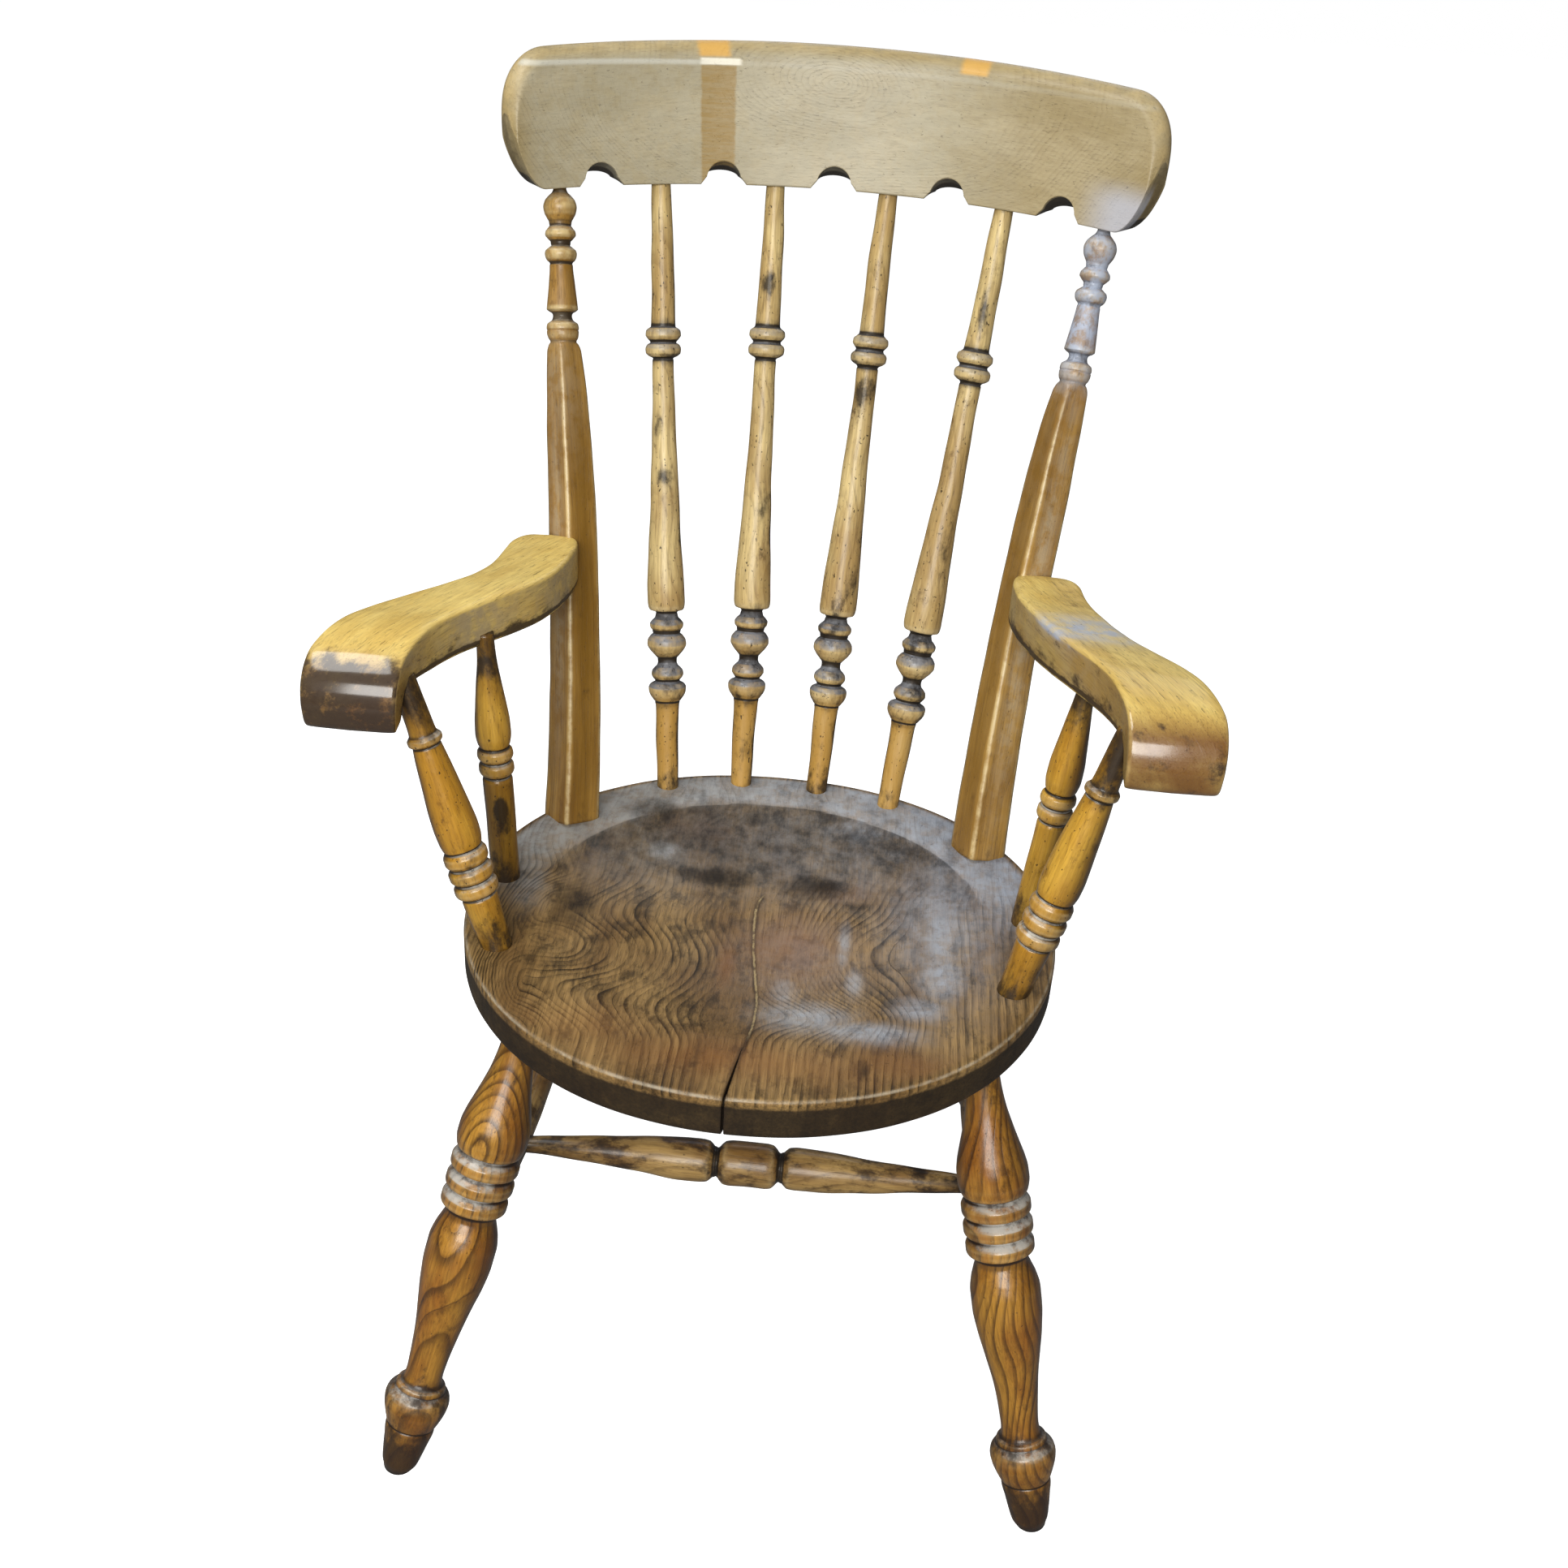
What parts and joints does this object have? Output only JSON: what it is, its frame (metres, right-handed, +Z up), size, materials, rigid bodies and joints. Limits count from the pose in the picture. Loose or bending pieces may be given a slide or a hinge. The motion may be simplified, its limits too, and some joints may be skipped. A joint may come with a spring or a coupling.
{
  "type": "spindle-back windsor armchair",
  "caption": "Old spindle-back Windsor armchair with a dished round seat, flat curved arms, a scalloped crest rail and turned legs, its waxed wood worn and grimy.",
  "frame": {"origin": "centre of the bounding box in X and Y, on the floor under the legs", "axes": "+Z up, -Y towards the front where the sitter's knees are, +X to the viewer's right from the front"},
  "size_m": [0.6746, 0.6669, 1.0515],
  "materials": {
    "seat_elm": "dark worn wax over open elm grain",
    "crest_wood": "greyish worn varnish",
    "post_wood": "satin old varnish",
    "spindle_wood": "satin old varnish with grime in the turnings",
    "arm_wood": "polished by hands, darker and glossy in front",
    "support_wood": "satin old varnish, scuffed",
    "leg_wood": "satin old varnish, scuffed, dark feet",
    "stretcher_wood": "grimy worn varnish",
    "screw_iron": "old dark iron"
  },
  "bodies": {
    "root": {"arm_left": "arm_wood", "arm_right": "arm_wood", "arm_screw_left": "screw_iron", "arm_screw_right": "screw_iron", "arm_support_front_left": "support_wood", "arm_support_front_right": "support_wood", "arm_support_rear_left": "support_wood", "arm_support_rear_right": "support_wood", "back_post_left": "post_wood", "back_post_right": "post_wood", "back_spindle_1": "spindle_wood", "back_spindle_2": "spindle_wood", "back_spindle_3": "spindle_wood", "back_spindle_4": "spindle_wood", "crest_rail": "crest_wood", "cross_stretcher": "stretcher_wood", "leg_front_left": "leg_wood", "leg_front_right": "leg_wood", "leg_rear_left": "leg_wood", "leg_rear_right": "leg_wood", "seat": "seat_elm", "side_stretcher_left": "stretcher_wood", "side_stretcher_right": "stretcher_wood"}
  },
  "joints": []
}
